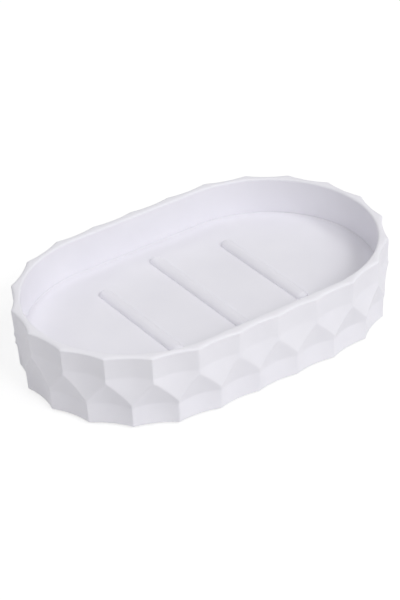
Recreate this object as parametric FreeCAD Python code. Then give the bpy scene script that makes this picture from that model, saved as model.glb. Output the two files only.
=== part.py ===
"""Soap dish: one cast body with a scalloped, faceted wall, and four foot pads under it.

Frame: +X along the length, +Y to the back, +Z up. The origin is on the surface that the dish
stands on, under the middle of the dish.
"""
import FreeCAD, Part
import math
import os

Vector = FreeCAD.Vector

# Overall sizes of the cast body, in millimetres
overall_length = 135.4          # from end cusp to end cusp, at the rim
overall_width = 85.8            # from side cusp to side cusp, at the rim
body_height = 26.75             # from the underside of the body to the rim

# The wall is three bands: flutes below, a belt of facets, and flutes above, half a pitch round.
# Insets are from the rim's cusps to the cusps of another level
flute_count = 24
lower_band_height = 8.8         # from the underside to the lower tips of the facets
upper_band_height = 9.5         # from the rim to their upper tips
base_inset = 1.2                # at the underside
lower_cusp_inset = 0.5          # at the lower tips
upper_cusp_inset = 0.1          # at the upper tips
base_flute_depth = 1.0          # from the chord between two cusps to the bottom of the flute
lower_flute_depth = 1.7
upper_flute_depth = 1.25
rim_flute_depth = 0.85
crease_gap = 1.3                # from the tips on a level to the crease between flutes and facets
cusp_flat = 0.5                 # each cusp is a narrow flat, not a knife edge
tip_bite = 0.05                 # how far a facet's tip cuts into the foot of the cusp that it meets
depth_step = 0.25               # the most that a flute's depth changes within one face
rim_round = 0.8                 # both edges of the rim
rim_round_share = 0.45          # the most of the rim's thinnest stretch that one round may take
base_round = 0.5
round_step_count = 2            # flats that make up a rounded edge

# The tray that the soap lies in
tray_wall = 3.8                 # at the rim, from a cusp to the tray
tray_depth = 13.4               # from the rim to the floor
floor_round = 0.3               # where the tray's wall meets its floor

# Three ribs hold the soap off the floor, across the tray
rib_width = 5.5
rib_height = 1.5
rib_spacing = 25.2
middle_rib_length = 61.0
side_rib_length = 47.5

# Foot pads, each in a shallow round seat, and a relief inside them so that the dish cannot rock
pad_diameter = 10.0
pad_thickness = 1.8
pad_edge_bevel = 0.4
pad_seat_depth = 0.8
pad_seat_clearance = 0.15       # all round the pad
pad_margin = 4.5                # from the pad to either edge of the border that it sits on
relief_depth = 1.2

overrun = 1.0                   # how far a cut passes the face that it opens
same_place = 1e-6               # points this near are one point

# Sizes that follow from the ones above
half_straight = (overall_length - overall_width) / 2
rim_radius = overall_width / 2
base_z = pad_thickness - pad_seat_depth
lower_z = base_z + lower_band_height
rim_z = base_z + body_height
upper_z = rim_z - upper_band_height
floor_z = rim_z - tray_depth
lower_tip = (lower_cusp_inset, lower_z)
upper_tip = (upper_cusp_inset, upper_z)
base_radius = rim_radius - base_inset
border_width = pad_diameter + 2 * pad_margin
pitch = (4 * half_straight + 2 * math.pi * rim_radius) / flute_count
chord_sagitta = rim_radius * (1 - math.cos(pitch / rim_radius / 2))
thinnest_rim = tray_wall - chord_sagitta - rim_flute_depth
rim_edge_round = min(rim_round, rim_round_share * thinnest_rim)
half_flat = cusp_flat / pitch / 2           # in pitches


def outline_point(place, inset, z):
    """Point on the outline, so many pitches from the middle of the back towards +X."""
    radius = rim_radius - inset
    quarter = half_straight + radius * math.pi / 2
    quadrant, along = divmod(place / flute_count % 1 * 4 * quarter, quarter)
    if quadrant in (1, 3):
        along = quarter - along
    angle = max(along - half_straight, 0) / radius
    x = min(along, half_straight) + radius * math.sin(angle)
    y = radius * math.cos(angle)
    return Vector(-x if quadrant > 1 else x, -y if quadrant in (1, 2) else y, z)


def flute_row(cusp, inset, z, depth):
    """Poles of the level parabola from the flat of one cusp, down into the flute, to the next."""
    start = outline_point(cusp + half_flat, inset, z)
    end = outline_point(cusp + 1 - half_flat, inset, z)
    inward = Vector(end.y - start.y, start.x - end.x, 0).normalize()
    return [start, (start + end) / 2 + inward * 2 * depth, end]


def facet_rows(cusp, depth, foot, tip, crease_z, far_z):
    """A facet's row at the crease, and its row beyond the tip on the cusp that it leans to."""
    row = flute_row(cusp, *foot, depth)
    deepest = (row[0] + row[1] * 2 + row[2]) / 4
    lean = outline_point(cusp + 1 / 2, tip[0] + tip_bite, tip[1]) - deepest
    return [[pole + lean * ((z - pole.z) / lean.z) for pole in row] for z in (crease_z, far_z)]


def eased_rows(start, end, depth_change):
    """Rows from one to another, close enough to change the flute's depth by small steps only."""
    count = math.floor(abs(depth_change) / depth_step) + 1
    return [[a + (b - a) * (step / count) for a, b in zip(start, end)] for step in range(count + 1)]


def row_edge(row):
    """Edge along a row."""
    curve = Part.BezierCurve()
    curve.setPoles(row)
    return curve.toShape()


def row_face(low, high):
    """Face that runs straight from one row to the next: an extrusion where the row keeps its shape."""
    slides = [after - before for before, after in zip(low, high)]
    if all(slide.isEqual(slides[0], same_place) for slide in slides):
        return row_edge(low).extrude(slides[0])
    surface = Part.BSplineSurface()
    surface.buildFromPolesMultsKnots([low, high], [2, 2], [3, 3], [0, 1], [0, 1], False, False, 1, 2)
    return surface.toShape()


def fluted_block(flutes):
    """Block with a flute up each column of rows, from low to high, and a narrow flat between them."""
    columns = []
    for flute, following in zip(flutes, flutes[1:] + flutes[:1]):
        ends = [(left[-1], right[0]) for left, right in zip(flute, following)]
        columns += [flute, [[end, (end + start) / 2, start] for end, start in ends]]
    faces = [row_face(low, high) for column in columns for low, high in zip(column, column[1:])]
    for end in (0, -1):
        outline = Part.__sortEdges__([row_edge(column[end]) for column in columns])
        faces.append(Part.Face(Part.Wire(outline)))
    skin = Part.makeCompound(faces)
    skin.sewShape()
    block = Part.makeSolid(skin.Shells[0])
    if block.Volume < 0:
        block.reverse()
    return block


def round_steps(radius):
    """How far a rounded edge has come in, and how far it still is from its flat, at each step."""
    angles = [math.pi / 2 * step / round_step_count for step in range(round_step_count + 1)]
    return [(radius * (1 - math.cos(a)), radius * (1 - math.sin(a))) for a in angles]


def lower_flute(cusp):
    """Rows of one lower flute, and above them its facet, which leans out to the upper cusp."""
    edge = [flute_row(cusp, base_inset + come_in, base_z + left, base_flute_depth)
            for come_in, left in reversed(round_steps(base_round))]
    crease, far = facet_rows(cusp, lower_flute_depth, lower_tip, upper_tip,
                             lower_z - crease_gap, rim_z + overrun)
    return edge[:-1] + eased_rows(edge[-1], crease, lower_flute_depth - base_flute_depth) + [far]


def upper_flute(cusp):
    """Rows of one upper flute, and below them its facet, which leans out to the lower cusp."""
    edge = [flute_row(cusp, come_in, rim_z - left, rim_flute_depth)
            for come_in, left in round_steps(rim_edge_round)]
    crease, far = facet_rows(cusp, upper_flute_depth, upper_tip, lower_tip,
                             upper_z + crease_gap, base_z - overrun)
    return [far] + eased_rows(crease, edge[0], upper_flute_depth - rim_flute_depth) + edge[1:]


def wall_block():
    """The body as a full block, before the tray is sunk into it: all that two fluted blocks,
    half a pitch apart, have in common. Where their facets meet, they make the zigzag of ridges."""
    lower_block = fluted_block([lower_flute(number + 1 / 2) for number in range(flute_count)])
    upper_block = fluted_block([upper_flute(number) for number in range(flute_count)])
    return lower_block.common(upper_block)


def obround(length, width, z):
    """Closed outline with two straight sides and two round ends."""
    radius = width / 2
    half = (length - width) / 2
    corners = [Vector(-half, radius, z), Vector(half, radius, z),
               Vector(half, -radius, z), Vector(-half, -radius, z)]
    right = Part.Arc(corners[1], Vector(half + radius, 0, z), corners[2])
    left = Part.Arc(corners[3], Vector(-half - radius, 0, z), corners[0])
    return Part.Wire([Part.makeLine(corners[0], corners[1]), right.toShape(),
                      Part.makeLine(corners[2], corners[3]), left.toShape()])


def tray_cut():
    """The hollow of the tray, from its rounded foot up to the rounded edge of the rim."""
    levels = [(-come_in, floor_z + left) for come_in, left in reversed(round_steps(floor_round))]
    levels += [(come_in, rim_z - left) for come_in, left in round_steps(rim_edge_round)]
    levels.append((rim_edge_round, rim_z + overrun))
    outlines = [obround(overall_length + 2 * (grow - tray_wall), overall_width + 2 * (grow - tray_wall), z)
                for grow, z in levels]
    return Part.makeLoft(outlines, True, True)


def rib(x, length):
    """Low round-backed bar with round ends, its lower part sunk into the floor."""
    radius = (rib_width ** 2 / 4 + rib_height ** 2) / (2 * rib_height)
    reach = (length - rib_width) / 2
    z = floor_z + rib_height - radius
    bar = Part.makeCylinder(radius, 2 * reach, Vector(x, -reach, z), Vector(0, 1, 0))
    ends = [Part.makeSphere(radius, Vector(x, side * reach, z)) for side in (-1, 1)]
    return bar.fuse(ends)


def pad_places():
    """Name and centre of each foot pad, on the border, halfway round each quarter of an end."""
    reach = (base_radius - border_width / 2) * math.cos(math.pi / 4)
    places = {}
    for depth_name, y_side in (("front", -1), ("back", 1)):
        for length_name, x_side in (("left", -1), ("right", 1)):
            name = "foot_pad_" + depth_name + "_" + length_name
            places[name] = Vector(x_side * (half_straight + reach), y_side * reach, 0)
    return places


def foot_pad(centre):
    """Round pad that stands on its lower face."""
    disc = Part.makeCylinder(pad_diameter / 2, pad_thickness, centre)
    foot_edges = [e for e in disc.Edges if e.Closed and e.BoundBox.ZMax < pad_edge_bevel]
    return disc.makeChamfer(pad_edge_bevel, foot_edges)


def pad_seat(centre):
    """Cut for one pad in the underside."""
    low = centre + Vector(0, 0, base_z - overrun)
    return Part.makeCylinder(pad_diameter / 2 + pad_seat_clearance, pad_seat_depth + overrun, low)


def base_relief():
    """Shallow hollow in the middle of the underside."""
    width = 2 * (base_radius - border_width)
    outline = obround(width + 2 * half_straight, width, base_z - overrun)
    return Part.Face(outline).extrude(Vector(0, 0, relief_depth + overrun))


def dish_body():
    """The casting."""
    body = wall_block().cut(tray_cut())
    body = body.fuse([rib(0, middle_rib_length), rib(-rib_spacing, side_rib_length),
                      rib(rib_spacing, side_rib_length)])
    return body.cut([base_relief()] + [pad_seat(centre) for centre in pad_places().values()])


def main():
    os.makedirs("parts", exist_ok=True)
    pieces = {"dish_body": dish_body()}
    for name, centre in pad_places().items():
        pieces[name] = foot_pad(centre)
    for name, shape in pieces.items():
        solid = shape.Solids[0]
        solid.exportStep("parts/" + name + ".step")
        box = solid.optimalBoundingBox()
        print(f"{name}: {len(shape.Solids)} solid, valid {solid.isValid()}, {solid.Volume:.0f} mm3, "
              f"{box.XLength:.2f} x {box.YLength:.2f} x {box.ZLength:.2f} mm, {len(solid.Faces)} faces")


main()
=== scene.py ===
# %% [markdown]
# # A cast soap dish with a scalloped, faceted wall
#
# The real dish is one casting of matte, mineral-filled resin, white with a breath of cool grey, on
# four small foot pads. Its whole charm is in how soft light turns over the scallops and facets of
# the wall, so most of this lesson is about that surface. The first cell opens the fixed frame: the
# construction model, which says where everything is and how large it is.

import math

import bpy
import numpy as np
from mathutils import Euler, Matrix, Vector


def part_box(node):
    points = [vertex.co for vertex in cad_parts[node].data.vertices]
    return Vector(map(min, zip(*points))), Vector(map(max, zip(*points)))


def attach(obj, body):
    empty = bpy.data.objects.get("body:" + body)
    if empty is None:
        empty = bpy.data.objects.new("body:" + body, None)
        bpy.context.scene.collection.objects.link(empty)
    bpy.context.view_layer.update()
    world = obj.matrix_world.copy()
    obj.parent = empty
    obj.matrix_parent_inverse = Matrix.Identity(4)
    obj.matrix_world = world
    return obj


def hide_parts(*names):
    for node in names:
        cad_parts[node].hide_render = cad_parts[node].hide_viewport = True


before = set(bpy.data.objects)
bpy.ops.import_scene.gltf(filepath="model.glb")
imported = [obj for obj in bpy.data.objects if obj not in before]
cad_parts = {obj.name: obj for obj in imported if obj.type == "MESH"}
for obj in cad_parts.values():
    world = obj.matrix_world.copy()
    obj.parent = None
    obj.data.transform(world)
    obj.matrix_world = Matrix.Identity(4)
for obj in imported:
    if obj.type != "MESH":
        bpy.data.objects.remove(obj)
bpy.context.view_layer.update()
for name in sorted(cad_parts):
    low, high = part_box(name)
    print(name, "is", [round(size, 4) for size in high - low], "m")

# %% [markdown]
# ## Sizes
#
# Sizes come from the frame wherever it knows them. What it can't tell, such as how deep a flute is,
# gets a name here, once, in metres. `MM` makes those values easy to read. The flutes stop short of
# two levels, `lower_z` and `upper_z`: the facets between them have their tips there.

# %% The dish's sizes
MM = 0.001

dish_low, dish_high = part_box("dish_body")
half_length = dish_high.x
half_width = dish_high.y
half_straight = half_length - half_width
base_z = dish_low.z
rim_z = dish_high.z

flute_count = 24
lower_z = base_z + 8.8 * MM
upper_z = rim_z - 9.5 * MM

tray_wall = 3.8 * MM
tray_depth = 13.4 * MM
floor_z = rim_z - tray_depth

rim_round = 0.8 * MM                # at the inner edge
rim_fall_width = 1.5 * MM           # at the outer edge, where the round is flatter
rim_fall_height = 0.65 * MM
base_round = 0.5 * MM
groove_width = 0.9 * MM
groove_depth = 0.1 * MM

pitch = (4 * half_straight + 2 * math.pi * half_width) / flute_count
print("one scallop is", round(pitch / MM, 2), "mm long at the rim")

# %% [markdown]
# ## The outline
#
# Seen from above the dish is an obround: two straight sides and two half circles. All scallops are
# equally long, so it helps to count places along the outline in scallops, or pitches, starting at
# the middle of the back. The function takes whole arrays of places, because numpy then makes
# thousands of points at once. It also gives the inward direction at each place, for the wall.

# %% The outline, counted in pitches
def outline(place, straight=half_straight, radius=half_width):
    """Points on an obround and its inward directions, at places counted from the back middle."""
    quarter = straight + radius * math.pi / 2
    quadrant, share = np.divmod(np.mod(np.asarray(place, float) / flute_count, 1) * 4, 1)
    along = np.where(quadrant % 2 == 1, 1 - share, share) * quarter
    angle = np.maximum(along - straight, 0) / radius
    side_x = np.where(quadrant > 1, -1, 1)
    side_y = np.where((quadrant == 1) | (quadrant == 2), -1, 1)
    outward = np.stack([side_x * np.sin(angle), side_y * np.cos(angle)], axis=-1)
    middle = np.stack([side_x * np.minimum(along, straight), np.zeros_like(along)], axis=-1)
    return middle + radius * outward, -outward


print("the back middle is at", outline(0)[0])
print("a quarter of the way round is", outline(flute_count / 4)[0])

# %% [markdown]
# ## Flutes and facets
#
# The wall has three bands. Low down it is a row of hollow flutes with cusps between them, and at
# the top there is another such row, half a pitch further round. The belt between them is left over
# by slanting the flutes outwards: past a level crease each flute leans out until its facet reaches
# the cusp opposite, and where the facets of both rows meet, they make a zigzag of ridges. It could
# be modelled as 48 separate facets, but then every ridge would need its own bevel. This way the
# wall is one height field instead: for any place and height it tells how far in the surface lies.
# The solid is whatever no flute has cut away, so the deepest cut counts, and a soft maximum in
# place of a hard one rounds all ridges at once, as a real mould does.

# %% Each row of flutes is described by a few sizes
upper_row = {
    "phase": 0,                     # its cusps stand at whole pitches
    "foot_z": upper_z,              # where its facets have their full width
    "foot_inset": 0.1 * MM,         # how far in the cusps are there
    "foot_depth": 1.25 * MM,        # from the chord between two cusps to the bottom of the flute
    "end_z": rim_z,
    "end_inset": 0,
    "end_depth": 0.85 * MM,
    "crease_gap": 1.3 * MM,         # from the foot to the crease between facet and flute
}
lower_row = {
    "phase": 1 / 2,
    "foot_z": lower_z,
    "foot_inset": 0.5 * MM,
    "foot_depth": 1.7 * MM,
    "end_z": base_z,
    "end_inset": 1.2 * MM,
    "end_depth": 1 * MM,
    "crease_gap": 1.3 * MM,
}
belt_height = upper_z - lower_z
print("the facets' belt is", round(belt_height / MM, 2), "mm high")

# %% [markdown]
# No edge on the casting is quite sharp. A soft maximum gives the larger of two values, but close to
# where they are equal it goes over from one to the other along a parabola. A soft minimum does the
# same for a hollow corner. How far the round reaches is their softness, and the cusps between
# flutes have more of it than the creases.

# %% Soft corners
crease_softness = 0.08 * MM
cusp_softness = 0.28 * MM
ridge_softness = 0.2 * MM


def soft_max(one, other, softness):
    """The larger value, with the corner between the two rounded off."""
    near = np.maximum(softness - np.abs(one - other), 0)
    return np.maximum(one, other) + near ** 2 / (4 * softness)


def soft_min(one, other, softness):
    """The smaller value, rounded in the same way."""
    return -soft_max(-one, -other, softness)


print("a soft cusp lies", round(soft_max(0, 0, cusp_softness) / MM, 3), "mm below a sharp one")

# %% [markdown]
# One flute is a hollow parabola between two cusps, whose depth changes with the height. Past the
# crease the same curve slides straight outwards, to the cusp opposite. It is known straight across
# its chord, but the height field wants it along the outline's own inward direction, which differs
# round the ends. A few corrections bring each point onto the surface.

# %% One flute and its facet
solve_steps = 4


def flute_inset(place, z, row, opposite, number):
    """How far in one flute and its slanted facet lie, straight in from places of the outline."""
    point, inward = outline(place)
    first_cusp = number + row["phase"]
    grown = half_width - row["foot_inset"]
    start = outline(first_cusp, radius=grown)[0]
    end = outline(first_cusp + 1, radius=grown)[0]
    tip = outline(first_cusp + 1 / 2, radius=half_width - opposite["foot_inset"])[0]
    chord = end - start
    half_chord = np.linalg.norm(chord, axis=-1) / 2
    across = chord / (2 * half_chord[..., None])
    into = np.stack([across[..., 1], -across[..., 0]], axis=-1)
    middle = (start + end) / 2

    up = math.copysign(1, row["end_z"] - row["foot_z"])
    crease_z = row["foot_z"] + up * row["crease_gap"]
    lean_z = opposite["foot_z"] - row["foot_z"]
    lean_in = np.sum((tip - middle) * into, axis=-1) - row["foot_depth"]
    lean_across = np.sum((tip - middle) * across, axis=-1)
    facet_slide = (z - row["foot_z"]) / lean_z
    crease_slide = (crease_z - row["foot_z"]) / lean_z
    risen = (z - crease_z) / (row["end_z"] - crease_z)

    def slid(sideways, slide):
        """The facet's curve, moved along its lean by a share of the way to the tip."""
        off_middle = (sideways - lean_across * slide) / half_chord
        return row["foot_depth"] * (1 - off_middle ** 2) + lean_in * slide

    inset = np.zeros(np.broadcast(place, z).shape)
    for step in range(solve_steps):
        here = point + inset[..., None] * inward - middle
        sideways = np.sum(here * across, axis=-1)
        depth_here = np.sum(here * into, axis=-1)
        end_curve = row["end_depth"] * (1 - (sideways / half_chord) ** 2)
        end_curve += row["end_inset"] - row["foot_inset"]
        flute = (1 - risen) * slid(sideways, crease_slide) + risen * end_curve
        wanted = soft_min(flute, slid(sideways, facet_slide), crease_softness)
        inset = inset + (wanted - depth_here) / np.sum(inward * into, axis=-1)
    return inset


middle_inset = flute_inset(np.array([1 / 2]), np.array([upper_z]), upper_row, lower_row, 0)[0]
print("where a facet is widest it lies", round(middle_inset / MM, 2), "mm in")

# %% [markdown]
# A whole row takes the deeper of the flute at each place and its nearer neighbour, which makes the
# cusps. The wall takes the deeper of its two rows, which makes the zigzag of ridges.

# %% Both rows together
def row_inset(place, z, row, opposite):
    """How far in a whole row of flutes lies: the flute at each place, and the nearer neighbour."""
    own = np.floor(place - row["phase"])
    neighbour = own + np.where(place - row["phase"] - own > 1 / 2, 1, -1)
    return soft_max(flute_inset(place, z, row, opposite, own),
                    flute_inset(place, z, row, opposite, neighbour), cusp_softness)


def wall_inset(place, z):
    """How far in the finished wall lies, from the plain outline at the rim."""
    return soft_max(row_inset(place, z, upper_row, lower_row),
                    row_inset(place, z, lower_row, upper_row), ridge_softness)


test_places = np.array([0, 1 / 2, flute_count / 4])    # back middle, half a pitch on, right end
for label, z in (("rim", rim_z), ("base", base_z)):
    insets = wall_inset(test_places, np.full(test_places.shape, z))
    print("insets at the", label, (insets / MM).round(2), "mm")

# %% [markdown]
# ## The body as a stack of rings
#
# A form that is the same kind of closed curve at every height is quickest to build as rings of
# points, one above the other, with faces between them. The rings here start in the relief under
# the dish, go out to the border that the pads sit in, up the fluted wall, over the rounded rim,
# down the inside of the tray and end at its floor. A small helper turns rings into a mesh, and
# closes the first and the last with one face each.

# %% A helper that skins rings
columns_per_flute = 40
places = np.arange(flute_count * columns_per_flute) / columns_per_flute


def skin(name, rings):
    """A closed mesh object through rings of equally many points, from the first to the last."""
    count = len(rings[0])
    points = np.concatenate(rings)
    low = np.arange(count)
    following = np.roll(low, -1)
    faces = []
    for number in range(len(rings) - 1):
        start = number * count
        quads = np.stack([low + start, low + start + count,
                          following + start + count, following + start], axis=1)
        faces += quads.tolist()
    faces.append(low.tolist())
    faces.append((low[::-1] + (len(rings) - 1) * count).tolist())
    mesh = bpy.data.meshes.new(name)
    mesh.from_pydata(points.tolist(), [], faces)
    mesh.update()
    piece = bpy.data.objects.new(name, mesh)
    bpy.context.scene.collection.objects.link(piece)
    return piece


def level(points, z):
    """Points of the plan at one height."""
    return np.column_stack([points, np.full(len(points), z)])


print("every ring of the body has", len(places), "points")

# %% [markdown]
# The wall rings follow the height field. Near the base each ring also comes in a little more, along
# a quarter circle, which gives that edge its soft round. At the rim the round is wider than it is
# high, so that the rim catches the light as a band and not as a thin line.

# %% The outer wall's rings
wall_row_height = 0.3 * MM
round_count = 6


def round_steps(width, height):
    """How far a rounded edge has come in, and how far it still is from its flat, at each step."""
    angles = np.linspace(0, math.pi / 2, round_count + 1)
    return [(width * (1 - math.cos(a)), height * (1 - math.sin(a))) for a in angles]


def wall_ring(z, come_in=0):
    """The outside of the wall at one height, brought in further where an edge is rounded."""
    point, inward = outline(places)
    inset = wall_inset(places, np.full(len(places), z)) + come_in
    return level(point + inset[:, None] * inward, z)


wall_rings = [wall_ring(base_z + left, come_in)
              for come_in, left in reversed(round_steps(base_round, base_round))]
wall_low = base_z + base_round
wall_high = rim_z - rim_fall_height
wall_rows = round((wall_high - wall_low) / wall_row_height)
wall_rings += [wall_ring(z) for z in np.linspace(wall_low, wall_high, wall_rows)[1:-1]]
wall_rings += [wall_ring(rim_z - left, come_in)
               for come_in, left in round_steps(rim_fall_width, rim_fall_height)]
print("the wall has", len(wall_rings), "rings of", len(places), "points")

# %% [markdown]
# The tray is a smaller obround. Its wall is plain and upright, with a rounded edge at the rim. A
# very shallow groove runs round the floor at its foot: it shows only as a faint line, but without
# it the corner would shine. The underside has a border as wide as the pads need, and a shallow
# relief inside it, both plain obrounds too.

# %% The tray's and the underside's rings
pad_names = [name for name in sorted(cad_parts) if name.startswith("foot_pad")]
pad_low, pad_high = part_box(pad_names[0])
pad_diameter = pad_high.x - pad_low.x
pad_margin = 4.5 * MM
border_width = pad_diameter + 2 * pad_margin
relief_depth = 1.2 * MM
lip = 0.3 * MM                      # a narrow band beside a sharp edge keeps its shading crisp

tray_radius = half_width - tray_wall
relief_radius = half_width - lower_row["end_inset"] - border_width


def plain_ring(z, straight, radius):
    """A plain obround at one height, with as many points as a wall ring."""
    return level(outline(places, straight, radius)[0], z)


tray_rings = [plain_ring(rim_z - left, half_straight, tray_radius + come_in)
              for come_in, left in reversed(round_steps(rim_round, rim_round))]
tray_rings += [plain_ring(floor_z - groove_depth, half_straight, tray_radius),
               plain_ring(floor_z, half_straight, tray_radius - groove_width),
               plain_ring(floor_z, half_straight, tray_radius - groove_width - lip)]

base_rings = [plain_ring(base_z + relief_depth, half_straight, relief_radius - lip),
              plain_ring(base_z + relief_depth, half_straight, relief_radius),
              plain_ring(base_z, half_straight, relief_radius),
              plain_ring(base_z, half_straight, relief_radius + lip)]

dish = skin("dish", base_rings + wall_rings + tray_rings)
print("the body has", len(dish.data.vertices), "points and", len(dish.data.polygons), "faces")

# %% [markdown]
# ## Ribs and pad seats
#
# Three low ribs with round backs and round ends keep the soap out of the water. A rib is a stack of
# level rings that get smaller towards its back. Its fullness tells how round it is: 1 would make a
# quarter of a ball at its ends, and a higher number draws its sides in. The pads' seats need a
# plain round plug, which takes two rings.

# %% Helpers for the ribs and seats
rib_width = 4.7 * MM
rib_height = 1.8 * MM
rib_fullness = 1.15
rib_steps = 24
rib_spacing = 25.2 * MM
middle_rib_length = 60.6 * MM
side_rib_length = 47 * MM
ribs_middle = (-0.25 * MM, -0.2 * MM)
pad_seat_clearance = 0.15 * MM
overrun = 1 * MM                    # how far a tool reaches past the face that it joins or cuts
circle_points = 96
around = np.arange(circle_points) / circle_points * 2 * math.pi


def rib_ring(x, reach, radius, z):
    """A level ring of a rib: two half circles, each moved from the rib's middle by its reach."""
    ring = np.column_stack([x + radius * np.cos(around), radius * np.sin(around)]) + ribs_middle
    ring[:, 1] += np.where(np.sin(around) > 0, reach, -reach)
    return level(ring, z)


def rib(name, x, length):
    """A bar along Y with round ends and a round back, from its foot in the floor to its crest."""
    reach = (length - rib_width) / 2
    rings = [rib_ring(x, reach, rib_width / 2, floor_z - overrun)]
    for turn in np.linspace(0, math.pi / 2, rib_steps + 1)[:-1].tolist():
        height = rib_height * math.sin(turn) ** rib_fullness
        rings.append(rib_ring(x, reach, rib_width / 2 * math.cos(turn), floor_z + height))
    return skin(name, rings)


def drum(name, centre, radius, low, high):
    """An upright round plug."""
    circle = np.column_stack([centre.x + radius * np.cos(around),
                              centre.y - radius * np.sin(around)])
    return skin(name, [level(circle, low), level(circle, high)])


def combine(piece, tool, operation):
    """Joins the tool to the piece or cuts it out of it, and removes the tool."""
    change = piece.modifiers.new("combine", "BOOLEAN")
    change.operation = operation
    change.solver = "EXACT"
    change.object = tool
    bpy.context.view_layer.objects.active = piece
    bpy.ops.object.modifier_apply(modifier=change.name)
    bpy.data.objects.remove(tool)


print("a rib has", rib_steps + 1, "rings of", circle_points, "points")

# %% [markdown]
# In the casting the ribs are one with the floor, so a boolean joins them to it, which leaves the
# crisp line at their foot that shows in soft light. Setting them on top as objects of their own
# would leave hidden faces inside. The pads' seats are cut in the same way.

# %% Join the ribs and cut the seats
for name, x, length in (("left_rib", -rib_spacing, side_rib_length),
                        ("middle_rib", 0, middle_rib_length),
                        ("right_rib", rib_spacing, side_rib_length)):
    combine(dish, rib(name, x, length), "UNION")
for pad in pad_names:
    low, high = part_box(pad)
    seat_radius = pad_diameter / 2 + pad_seat_clearance
    seat = drum("seat", (low + high) / 2, seat_radius, base_z - overrun, high.z)
    combine(dish, seat, "DIFFERENCE")
print("with ribs and seats the body has", len(dish.data.vertices), "points")

# %% [markdown]
# Smooth shading makes the fine rings read as one skin. Edges that turn by more than a certain angle
# stay crisp: only the foot of the ribs and of the tray's wall, the relief and the seats do.

# %% Smooth the body and put it on its frame
crisp_angle = math.radians(32)

dish.data.polygons.foreach_set("use_smooth", [True] * len(dish.data.polygons))
dish.data.set_sharp_from_angle(angle=crisp_angle)
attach(dish, "root")
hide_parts("dish_body")
crisp_edges = sum(edge.use_edge_sharp for edge in dish.data.edges)
print("crisp edges:", crisp_edges, "of", len(dish.data.edges))

# %% [markdown]
# ## Finishes
#
# Finishes are made of shader nodes. Most of what a node needs is the same each time, so three small
# helpers come first: one feeds an input, one makes a math node and one blends two colours.

# %% Helpers for shader nodes
def feed(tree, socket, value):
    """Gives a node's input a link from another node, or a plain value."""
    if isinstance(value, bpy.types.NodeSocket):
        tree.links.new(value, socket)
    else:
        socket.default_value = value


def calc(tree, operation, *values, clamp=False):
    """A math node's result. Its inputs are numbers or sockets of other nodes."""
    node = tree.nodes.new("ShaderNodeMath")
    node.operation = operation
    node.use_clamp = clamp
    for socket, value in zip(node.inputs, values):
        feed(tree, socket, value)
    return node.outputs[0]


def blend(tree, mask, one, other):
    """A colour that turns from one into the other as the mask goes from 0 to 1."""
    node = tree.nodes.new("ShaderNodeMix")
    node.data_type = "RGBA"
    feed(tree, node.inputs["Factor"], mask)
    feed(tree, node.inputs["A"], one)
    feed(tree, node.inputs["B"], other)
    return node.outputs["Result"]


# %% [markdown]
# Nothing that is made in a mould is perfectly even. Two effects are shared by both materials: a
# cloudy drift in tone, several millimetres wide, and a fine grain. Each is a node group with named
# inputs, so a material places it with its own values.

# %% Node groups for drift and grain
def new_group(name, inputs, outputs):
    """An empty shader node group with named float inputs and outputs, and its two end nodes."""
    group = bpy.data.node_groups.new(name, "ShaderNodeTree")
    for label, default in inputs:
        socket = group.interface.new_socket(label, in_out="INPUT", socket_type="NodeSocketFloat")
        socket.default_value = default
    for label in outputs:
        group.interface.new_socket(label, in_out="OUTPUT", socket_type="NodeSocketFloat")
    return group, group.nodes.new("NodeGroupInput"), group.nodes.new("NodeGroupOutput")


def noise_group(name, detail, roughness):
    """A group that gives a mask of soft noise, with a size in features per metre and a contrast."""
    group, start, end = new_group(name, [("Scale", 100), ("Contrast", 1)], ["Mask"])
    place = group.nodes.new("ShaderNodeTexCoord")
    noise = group.nodes.new("ShaderNodeTexNoise")
    noise.inputs["Detail"].default_value = detail
    noise.inputs["Roughness"].default_value = roughness
    group.links.new(place.outputs["Object"], noise.inputs["Vector"])
    group.links.new(start.outputs["Scale"], noise.inputs["Scale"])
    centred = calc(group, "SUBTRACT", noise.outputs["Fac"], 1 / 2)
    widened = calc(group, "MULTIPLY_ADD", centred, start.outputs["Contrast"], 1 / 2, clamp=True)
    group.links.new(widened, end.inputs["Mask"])
    return group


drift = noise_group("tone_drift", detail=2, roughness=0.5)
grain = noise_group("fine_grain", detail=6, roughness=0.6)
print("node groups:", drift.name, "and", grain.name)

# %% [markdown]
# A third group tells where on the dish a point is, for painted shade and a painted highlight. Its
# first mask is 1 along the foot of the tray's wall and fades out over a few millimetres of floor,
# but hardly climbs the wall: it places the painted shade in that corner. Its second one is 1 on the
# rim, where the painted highlight goes. The distance from the foot is found as for the outline:
# with the straight part of the obround taken away, what is left is a circle.

# %% A node group for the tray's foot and the rim
foot_fade = 2.5 * MM
wall_share = 1 / 5                  # the fade's reach up the wall, by its reach on the floor
rim_fade = 0.8 * MM


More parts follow.
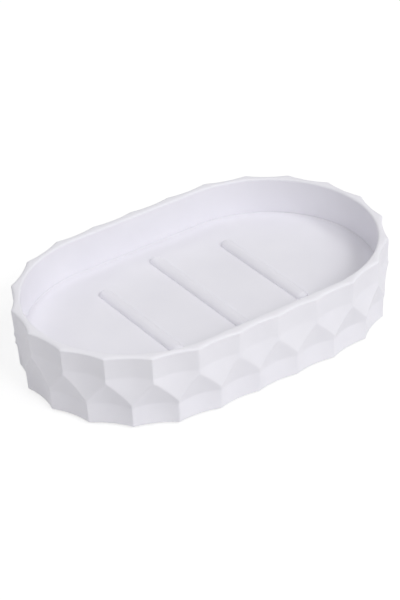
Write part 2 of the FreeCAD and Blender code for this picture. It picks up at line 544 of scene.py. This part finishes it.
def place_group():
    """Masks for painted shade at the foot of the tray's wall and a painted highlight on the rim."""
    group, _, end = new_group("tray_places", [], ["Foot", "Rim"])
    place = group.nodes.new("ShaderNodeTexCoord")
    split = group.nodes.new("ShaderNodeSeparateXYZ")
    group.links.new(place.outputs["Object"], split.inputs["Vector"])
    x, y, z = split.outputs

    def distance(one, other):
        """The length of the slanted side over two upright ones."""
        squares = [calc(group, "MULTIPLY", value, value) for value in (one, other)]
        return calc(group, "SQRT", calc(group, "ADD", *squares))

    over = calc(group, "SUBTRACT", calc(group, "ABSOLUTE", x), half_straight)
    past_straight = calc(group, "MAXIMUM", over, 0)
    from_wall = calc(group, "SUBTRACT", distance(past_straight, y), tray_radius)
    from_floor = calc(group, "DIVIDE", calc(group, "SUBTRACT", z, floor_z), wall_share)
    faded = calc(group, "DIVIDE", distance(from_wall, from_floor), foot_fade)
    group.links.new(calc(group, "SUBTRACT", 1, faded, clamp=True), end.inputs["Foot"])
    below_rim = calc(group, "DIVIDE", calc(group, "SUBTRACT", rim_z, z), rim_fade)
    group.links.new(calc(group, "SUBTRACT", 1, below_rim, clamp=True), end.inputs["Rim"])
    return group


tray_places = place_group()
print("the third group has", len(tray_places.nodes), "nodes")

# %% [markdown]
# Both finishes are built the same way: the drift moves the colour a little between two tones, the
# grain moves the roughness and gives a very shallow bump.

# %% A matte material from two tones
drift_contrast = 1.6
grain_contrast = 1.4


def place_copy(material, group, **values):
    """A node group's node in a material, with its own values. It gives the node's outputs."""
    node = material.node_tree.nodes.new("ShaderNodeGroup")
    node.node_tree = group
    for label, value in values.items():
        node.inputs[label].default_value = value
    return node.outputs


def matte(name, light, dark, drift_scale, grain_scale, roughness, bump_height, sheen):
    """A matte material: two tones that drift into each other, and a fine grain."""
    material = bpy.data.materials.new(name)
    material.use_nodes = True
    tree = material.node_tree
    shader = tree.nodes["Principled BSDF"]
    shader.inputs["Specular IOR Level"].default_value = sheen
    clouds = place_copy(material, drift, Scale=drift_scale, Contrast=drift_contrast)["Mask"]
    specks = place_copy(material, grain, Scale=grain_scale, Contrast=grain_contrast)["Mask"]
    gloss = tree.nodes.new("ShaderNodeMapRange")
    gloss.inputs["To Min"].default_value = roughness[0]
    gloss.inputs["To Max"].default_value = roughness[1]
    bump = tree.nodes.new("ShaderNodeBump")
    bump.inputs["Strength"].default_value = 1
    bump.inputs["Distance"].default_value = bump_height
    tree.links.new(blend(tree, clouds, (*dark, 1), (*light, 1)), shader.inputs["Base Color"])
    tree.links.new(specks, gloss.inputs["Value"])
    tree.links.new(gloss.outputs["Result"], shader.inputs["Roughness"])
    tree.links.new(specks, bump.inputs["Height"])
    tree.links.new(bump.outputs["Normal"], shader.inputs["Normal"])
    return material


# %% [markdown]
# The casting is matte white with a trace of violet grey, as the photograph shows in its shade as
# well as in its light. It has less sheen than a glaze would have, so its specular level is low. The
# corner at the tray's foot is painted a shade darker, which is painted shade where a deep corner
# gathers less light, and the rim is painted a shade lighter, which is a painted highlight.

# %% The cast resin
resin = matte("cast_resin", light=(0.875, 0.865, 0.915), dark=(0.84, 0.83, 0.885),
              drift_scale=60, grain_scale=1600, roughness=(0.5, 0.62),
              bump_height=0.01 * MM, sheen=0.35)
# Painted shade: the tray's foot is painted darker where the corner gathers less light.
foot_painted_shade_tone = (0.8, 0.79, 0.835)
# Painted highlight: the rim is painted lighter where it catches the light.
rim_painted_highlight_tone = (0.89, 0.88, 0.93)


def change_tone(material, mask, tone):
    """Lets the colour that reaches the shader turn into another tone where a mask is 1."""
    tree = material.node_tree
    base = tree.nodes["Principled BSDF"].inputs["Base Color"]
    before = base.links[0].from_socket
    tree.links.new(blend(tree, mask, before, (*tone, 1)), base)


# The tray's foot gets the painted shade, the rim the painted highlight.
on_tray = place_copy(resin, tray_places)
change_tone(resin, on_tray["Foot"], foot_painted_shade_tone)
change_tone(resin, on_tray["Rim"], rim_painted_highlight_tone)
dish.data.materials.clear()
dish.data.materials.append(resin)
print("the resin has", len(resin.node_tree.nodes), "nodes")

# %% [markdown]
# The pads are soft pale rubber, greyer and duller than the casting. They are construction nodes
# whose shape is right, so they stay and only get this finish.

# %% The pads' rubber
rubber = matte("pad_rubber", light=(0.64, 0.65, 0.66), dark=(0.58, 0.59, 0.6),
               drift_scale=250, grain_scale=4000, roughness=(0.7, 0.85),
               bump_height=0.02 * MM, sheen=0.3)
for name in pad_names:
    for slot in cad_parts[name].material_slots:
        slot.material = rubber
print("finishes:", [material.name for material in (resin, rubber)])

# %% [markdown]
# ## Floor, light and camera
#
# A white floor lets light bounce up under the facets that hang over. To the camera, and in anything
# shiny, it glows a little as well, so that it reads as plain white paper and still takes a shadow.
# The world behind it is seen as white in the same way, so both share one small helper.

# %% The floor
floor_size = 6                      # metres, so that its edges are out of sight
floor_tone = 0.85
seen_floor_tone = 0.4
floor_glow = 0.72


def seen_rays(tree):
    """1 for rays from the camera, off a mirror or through glass, and 0 for all others."""
    path = tree.nodes.new("ShaderNodeLightPath").outputs
    total = path["Is Camera Ray"]
    for label in ("Is Glossy Ray", "Is Transmission Ray"):
        total = calc(tree, "MAXIMUM", total, path[label])
    return total


def grey(tone):
    """A neutral colour."""
    return (tone, tone, tone, 1)


def white_floor():
    """A large white plane that to the camera and to shiny things partly glows by itself."""
    half = floor_size / 2
    corners = [(-half, -half, 0), (half, -half, 0), (half, half, 0), (-half, half, 0)]
    mesh = bpy.data.meshes.new("floor")
    mesh.from_pydata(corners, [], [(0, 1, 2, 3)])
    plane = bpy.data.objects.new("floor", mesh)
    bpy.context.scene.collection.objects.link(plane)
    paper = bpy.data.materials.new("white_paper")
    paper.use_nodes = True
    tree = paper.node_tree
    shader = tree.nodes["Principled BSDF"].inputs
    shader["Roughness"].default_value = 1
    shader["Specular IOR Level"].default_value = 0
    shader["Emission Color"].default_value = grey(1)
    seen = seen_rays(tree)
    feed(tree, shader["Base Color"], blend(tree, seen, grey(floor_tone), grey(seen_floor_tone)))
    feed(tree, shader["Emission Strength"], calc(tree, "MULTIPLY", seen, floor_glow))
    mesh.materials.append(paper)
    return plane


floor = white_floor()
print("the floor,", floor_size, "m wide, is a stage piece:", floor.name)

# %% [markdown]
# The light is that of a plain product table: four soft lamps in front and to the right, one high
# up on the left, two weaker ones behind, and an even glow all round from the world, which the
# camera sees as white. The lamps behind matter most inside the tray, whose front wall would
# otherwise lie in shade. All powers together keep the white dish just below full white.

# %% World and lamps
ambient = 0.323
lamp_distance = 2.5
lamp_size = 0.6


def soft_world():
    """Even light all round, seen as plain white."""
    world = bpy.data.worlds.new("studio")
    bpy.context.scene.world = world
    world.use_nodes = True
    nodes, links = world.node_tree.nodes, world.node_tree.links
    background = nodes["Background"]
    background.inputs["Color"].default_value = grey(1)
    strength = nodes.new("ShaderNodeMapRange")
    strength.inputs["To Min"].default_value = ambient
    strength.inputs["To Max"].default_value = 1
    links.new(seen_rays(world.node_tree), strength.inputs["Value"])
    links.new(strength.outputs["Result"], background.inputs["Strength"])


def toward(azimuth, elevation):
    """The direction from the dish to a lamp or the camera, in degrees from its front and up."""
    turn, lift = math.radians(azimuth), math.radians(elevation)
    return Vector((math.sin(turn) * math.cos(lift), -math.cos(turn) * math.cos(lift),
                   math.sin(lift)))


def soft_lamp(name, azimuth, elevation, power):
    """A square lamp that looks at the dish. Its power is in watts."""
    light = bpy.data.lights.new(name, "AREA")
    light.size = lamp_size
    light.energy = power
    lamp = bpy.data.objects.new(name, light)
    direction = toward(azimuth, elevation)
    lamp.location = direction * lamp_distance
    lamp.rotation_euler = direction.to_track_quat("Z", "Y").to_euler()
    bpy.context.scene.collection.objects.link(lamp)
    return lamp


soft_world()
soft_lamp("front_lamp", azimuth=0, elevation=40, power=12.9)
soft_lamp("low_front_lamp", azimuth=15, elevation=30, power=6.4)
soft_lamp("front_right_lamp", azimuth=30, elevation=40, power=6)
soft_lamp("high_right_lamp", azimuth=45, elevation=55, power=7.8)
soft_lamp("back_right_lamp", azimuth=150, elevation=50, power=2.6)
soft_lamp("back_left_lamp", azimuth=-120, elevation=35, power=4.4)
soft_lamp("front_left_lamp", azimuth=-60, elevation=60, power=6.4)

# %% [markdown]
# The camera stands three quarters of a metre away with a long lens, to the left of the dish's
# front, and looks down by a good third of a right angle. It isn't quite level: the photograph has
# a small roll, which is kept.

# %% The camera
view_azimuth = -33
view_elevation = 32.52
view_distance = 0.7457
view_roll = -3.57
aim = Vector((-2.18 * MM, -1.04 * MM, 13.75 * MM))
lens = 133.6                        # millimetres, as on a real camera
near_limit = 10 * MM                # nothing nearer to the camera than this is drawn


def photo_camera():
    """The camera that sees the dish as the photograph does."""
    camera = bpy.data.objects.new("camera", bpy.data.cameras.new("camera"))
    camera.data.lens = lens
    camera.data.clip_start = near_limit
    direction = toward(view_azimuth, view_elevation)
    camera.location = aim + direction * view_distance
    roll = Euler((0, 0, math.radians(view_roll))).to_quaternion()
    camera.rotation_euler = (direction.to_track_quat("Z", "Y") @ roll).to_euler()
    bpy.context.scene.collection.objects.link(camera)
    bpy.context.scene.camera = camera
    return camera


camera = photo_camera()
print("the camera is at", [round(value, 3) for value in camera.location])

# %% [markdown]
# ## Finish
#
# Plain Standard colour keeps whites as they are written.

# %% Colour
bpy.context.scene.view_settings.view_transform = "Standard"
